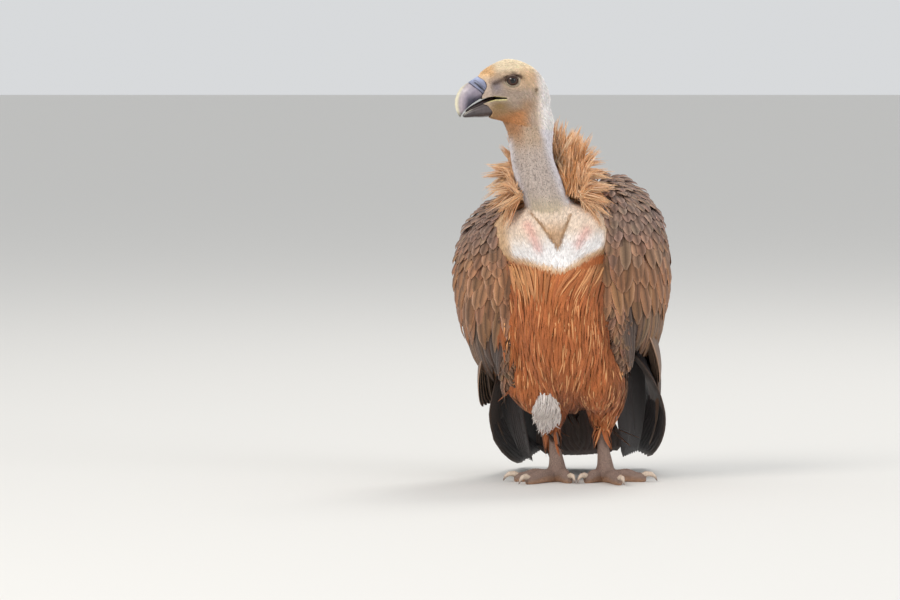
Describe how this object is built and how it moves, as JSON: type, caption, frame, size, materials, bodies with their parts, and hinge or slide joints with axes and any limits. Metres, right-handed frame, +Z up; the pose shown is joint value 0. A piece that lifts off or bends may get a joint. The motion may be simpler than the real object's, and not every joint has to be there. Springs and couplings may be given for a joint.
{
  "type": "griffon vulture figure",
  "caption": "Life-size still figure of a young griffon vulture standing upright with its wings half let down and its head turned to its right.",
  "frame": {"origin": "on the floor under the middle of the bird's bounding box", "axes": "+Z up; -Y is the way the bird faces; +X is the bird's left"},
  "size_m": [0.3779, 0.4862, 0.7385],
  "materials": {
    "rufous_plumage": "matte",
    "crop_down": "matte",
    "neck_down": "matte",
    "head_down": "matte",
    "ruff_feathers": "matte",
    "covert_feathers": "matte",
    "secondary_feathers": "matte",
    "dark_quills": "matte",
    "eye": "gloss",
    "cere": "satin",
    "beak_horn": "satin",
    "scaly_skin": "matte",
    "claw_horn": "satin"
  },
  "bodies": {
    "root": {"trunk": "rufous_plumage", "crop": "crop_down", "neck_lower": "neck_down", "neck_upper": "neck_down", "head": "head_down", "eye_right": "eye", "eye_left": "eye", "cere": "cere", "beak_upper": "beak_horn", "beak_lower": "beak_horn", "wing_coverts_right": "covert_feathers", "wing_hand_right": "covert_feathers", "secondaries_right": "secondary_feathers", "primaries_right": "dark_quills", "wing_coverts_left": "covert_feathers", "wing_hand_left": "covert_feathers", "secondaries_left": "secondary_feathers", "primaries_left": "dark_quills", "tail": "dark_quills", "ruff": "ruff_feathers", "thigh_right": "rufous_plumage", "shank_right": "scaly_skin", "foot_right": "scaly_skin", "claw_inner_right": "claw_horn", "claw_middle_right": "claw_horn", "claw_outer_right": "claw_horn", "claw_hind_right": "claw_horn", "thigh_left": "rufous_plumage", "shank_left": "scaly_skin", "foot_left": "scaly_skin", "claw_inner_left": "claw_horn", "claw_middle_left": "claw_horn", "claw_outer_left": "claw_horn", "claw_hind_left": "claw_horn"}
  },
  "joints": []
}
